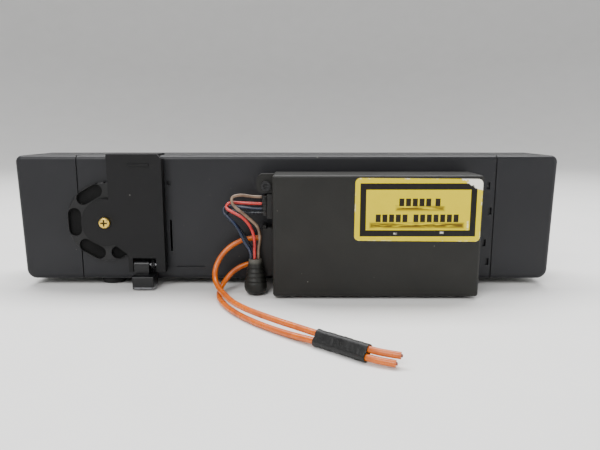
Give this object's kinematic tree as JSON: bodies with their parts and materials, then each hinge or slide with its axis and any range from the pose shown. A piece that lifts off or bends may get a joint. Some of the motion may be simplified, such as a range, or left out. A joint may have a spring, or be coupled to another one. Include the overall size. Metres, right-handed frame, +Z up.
{
  "type": "fibre-coupled laser spectroscope",
  "caption": "Long black optical bar with a boxed laser module, sticker, clamp wheel and strap on its back, wires into a boot and two orange optical fibres",
  "frame": {"origin": "on the table, under the middle of the bounding box of the instrument without its free fibres", "axes": "+X along the bar, to the right seen from the back with the laser module; +Y from the back to the front window; +Z up"},
  "size_m": [0.2418, 0.126, 0.0603],
  "materials": {
    "bar_plastic": "fine moulded grain, satin black",
    "module_plastic": "matt black with dust",
    "strap_black": "black powder coat",
    "wheel_plastic": "satin black",
    "latch_plastic": "semi-gloss black",
    "yellow_zinc": "yellow passivated",
    "brass": "turned",
    "black_screws": "black oxide",
    "steel": "bright",
    "rubber": "dull",
    "boot_rubber": "dull, slightly olive",
    "label": "printed yellow and black film",
    "circuit_board": "solder mask",
    "connector": "moulded black",
    "black_metal": "black anodised",
    "bright_metal": "machined",
    "clear_glass": "polished",
    "grating_glass": "ruled",
    "silvered": "front-silvered",
    "sensor": "glazed",
    "fibre_jacket": "extruded orange jacket",
    "fibre_core": "cut dark red core",
    "shrink_sleeve": "dull shrunk sleeve",
    "wire_brown": "thin insulation",
    "wire_red": "thin insulation",
    "wire_blue": "thin insulation",
    "wire_black": "thin insulation"
  },
  "bodies": {
    "housing": {"rear_shell": "bar_plastic", "front_cover": "bar_plastic", "left_end_cap": "bar_plastic", "right_end_cap": "bar_plastic", "left_cap_seal": "rubber", "right_cap_seal": "rubber", "housing_screws": "black_screws", "rubber_feet": "rubber", "tripod_insert": "brass", "window_bezel": "latch_plastic", "window_glass": "clear_glass", "mounting_strap": "strap_black", "pivot_screw": "yellow_zinc", "threaded_insert": "brass", "latch_pin": "steel", "latch_spring": "black_screws", "module_case": "module_plastic", "module_cover": "module_plastic", "laser_label": "label", "module_screws": "black_screws", "laser_board": "circuit_board", "board_screws": "steel", "diode_holder": "bright_metal", "laser_diode": "brass", "beam_splitter": "clear_glass", "fibre_socket": "connector", "fibre_ferrules": "bright_metal", "wire_socket": "connector", "wire_plug": "connector", "brown_wire": "wire_brown", "red_wire": "wire_red", "blue_wire": "wire_blue", "black_wire": "wire_black", "cable_boot": "boot_rubber", "fibre_upper": "fibre_jacket", "fibre_lower": "fibre_jacket", "fibre_sleeve": "shrink_sleeve", "fibre_core_ends": "fibre_core", "optical_bench": "black_metal", "bench_screws": "steel", "mirror_mount": "black_metal", "fold_mirror": "silvered", "slit_holder": "black_metal", "slit_blades": "bright_metal", "collimator_tube": "black_metal", "collimator_lens": "clear_glass", "collimator_ring": "bright_metal", "camera_tube": "black_metal", "camera_lens": "clear_glass", "camera_ring": "bright_metal", "turntable_pin": "steel", "sensor_board": "circuit_board", "sensor_chip": "sensor", "main_board": "circuit_board"},
    "wheel": {"thumbwheel": "wheel_plastic"},
    "latch": {"release_latch": "latch_plastic"},
    "shutter": {"shutter": "strap_black"},
    "grating_table": {"grating_turntable": "black_metal", "grating": "grating_glass"}
  },
  "joints": [
    {"name": "thumbwheel_turn", "type": "hinge", "parent": "housing", "child": "wheel", "pos_m": [-0.0805, -0.0085, 0.0301], "axis": [0, 1, 0], "range_deg": [-60, 60]},
    {"name": "latch_swing", "type": "hinge", "parent": "housing", "child": "latch", "pos_m": [-0.0638, -0.0102, 0.0106], "axis": [-1, 0, 0], "range_deg": [0, 14], "stiffness_Nm_per_rad": 0.01, "springref_deg": -11.46},
    {"name": "shutter_slide", "type": "slide", "parent": "housing", "child": "shutter", "axis": [1, 0, 0], "range_m": [0, 0.034]},
    {"name": "grating_turn", "type": "hinge", "parent": "housing", "child": "grating_table", "pos_m": [0.02, 0.014, 0.0168], "axis": [0, 0, 1], "range_deg": [-10, 10]}
  ]
}
